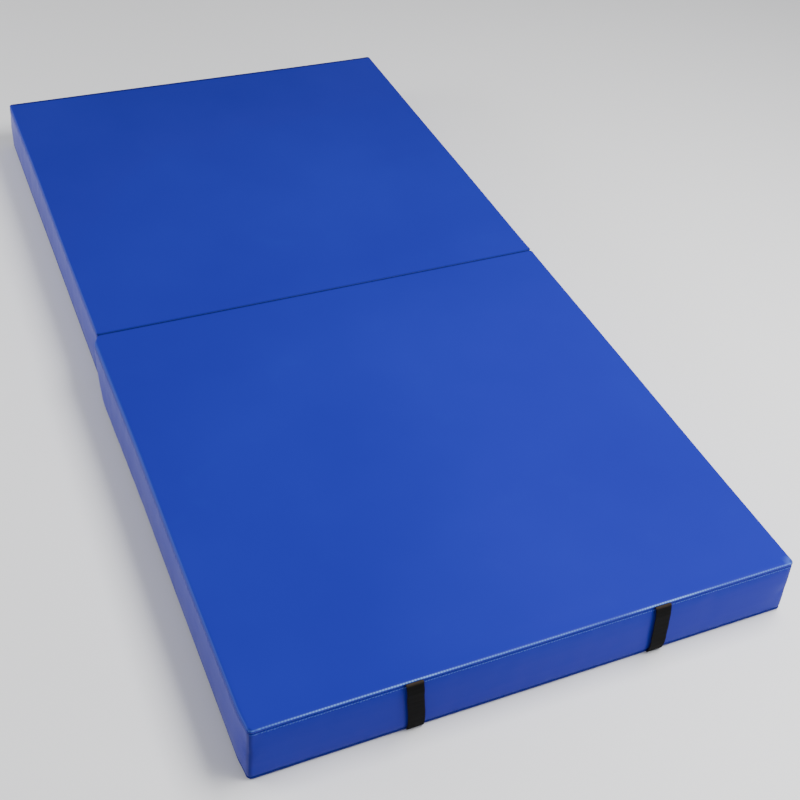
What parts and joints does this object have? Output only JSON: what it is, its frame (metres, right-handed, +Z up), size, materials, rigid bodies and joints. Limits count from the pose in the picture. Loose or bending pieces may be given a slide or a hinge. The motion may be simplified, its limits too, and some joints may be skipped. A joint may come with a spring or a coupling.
{
  "type": "folding gym mat",
  "caption": "Folding gym mat of two padded panels in blue vinyl covers with zips, hinged along the top of the fold, with black webbing carrying handles.",
  "frame": {"origin": "on the floor under the middle of the fold of the opened mat", "axes": "+X across the mat towards the zipped side, +Y along the mat from the near panel to the far panel, +Z up"},
  "size_m": [1.0048, 2.019, 0.12],
  "materials": {
    "vinyl": "blue PVC-coated fabric, satin, very fine grain",
    "foam": "white closed-cell foam sheet",
    "webbing": "black woven webbing, matt",
    "zip_tape": "black woven tape",
    "zip_teeth": "black moulded plastic",
    "zip_metal": "black enamel, slightly worn"
  },
  "bodies": {
    "near_panel": {"near_top_sheet": "vinyl", "near_bottom_sheet": "vinyl", "near_side_boxing": "vinyl", "near_end_boxing": "vinyl", "near_fold_boxing": "vinyl", "near_zip_strip_upper": "vinyl", "near_zip_strip_lower": "vinyl", "near_foam_1": "foam", "near_foam_2": "foam", "near_foam_3": "foam", "near_foam_4": "foam", "near_zip_tape_upper": "zip_tape", "near_zip_tape_lower": "zip_tape", "near_zip_teeth_upper": "zip_teeth", "near_zip_teeth_lower": "zip_teeth", "near_zip_top_stops": "zip_teeth", "near_zip_bottom_stop": "zip_teeth", "near_zip_end_tabs": "vinyl", "near_handle_left": "webbing", "near_handle_right": "webbing", "fold_strip": "vinyl"},
    "near_zip_slider": {"near_zip_slider": "zip_metal"},
    "near_zip_pull": {"near_zip_pull": "zip_metal"},
    "far_panel": {"far_top_sheet": "vinyl", "far_bottom_sheet": "vinyl", "far_side_boxing": "vinyl", "far_end_boxing": "vinyl", "far_fold_boxing": "vinyl", "far_zip_strip_upper": "vinyl", "far_zip_strip_lower": "vinyl", "far_foam_1": "foam", "far_foam_2": "foam", "far_foam_3": "foam", "far_foam_4": "foam", "far_zip_tape_upper": "zip_tape", "far_zip_tape_lower": "zip_tape", "far_zip_teeth_upper": "zip_teeth", "far_zip_teeth_lower": "zip_teeth", "far_zip_top_stops": "zip_teeth", "far_zip_bottom_stop": "zip_teeth", "far_zip_end_tabs": "vinyl", "far_handle_left": "webbing", "far_handle_right": "webbing"},
    "far_zip_slider": {"far_zip_slider": "zip_metal"},
    "far_zip_pull": {"far_zip_pull": "zip_metal"}
  },
  "joints": [
    {"name": "fold", "type": "hinge", "parent": "near_panel", "child": "far_panel", "pos_m": [0, 0, 0.1205], "axis": [1, 0, 0], "range_deg": [0, 180], "deforming": ["fold_strip"]},
    {"name": "near_zip_slide", "type": "slide", "parent": "near_panel", "child": "near_zip_slider", "axis": [0, 1, 0], "range_m": [0, 0.9264]},
    {"name": "near_pull_swing", "type": "hinge", "parent": "near_zip_slider", "child": "near_zip_pull", "pos_m": [0.50315, -0.9637, 0.06], "axis": [0, 0, -1], "range_deg": [0, 180]},
    {"name": "far_zip_slide", "type": "slide", "parent": "far_panel", "child": "far_zip_slider", "axis": [0, -1, 0], "range_m": [0, 0.9264]},
    {"name": "far_pull_swing", "type": "hinge", "parent": "far_zip_slider", "child": "far_zip_pull", "pos_m": [0.50315, 0.9637, 0.06], "axis": [0, 0, 1], "range_deg": [0, 180]}
  ]
}
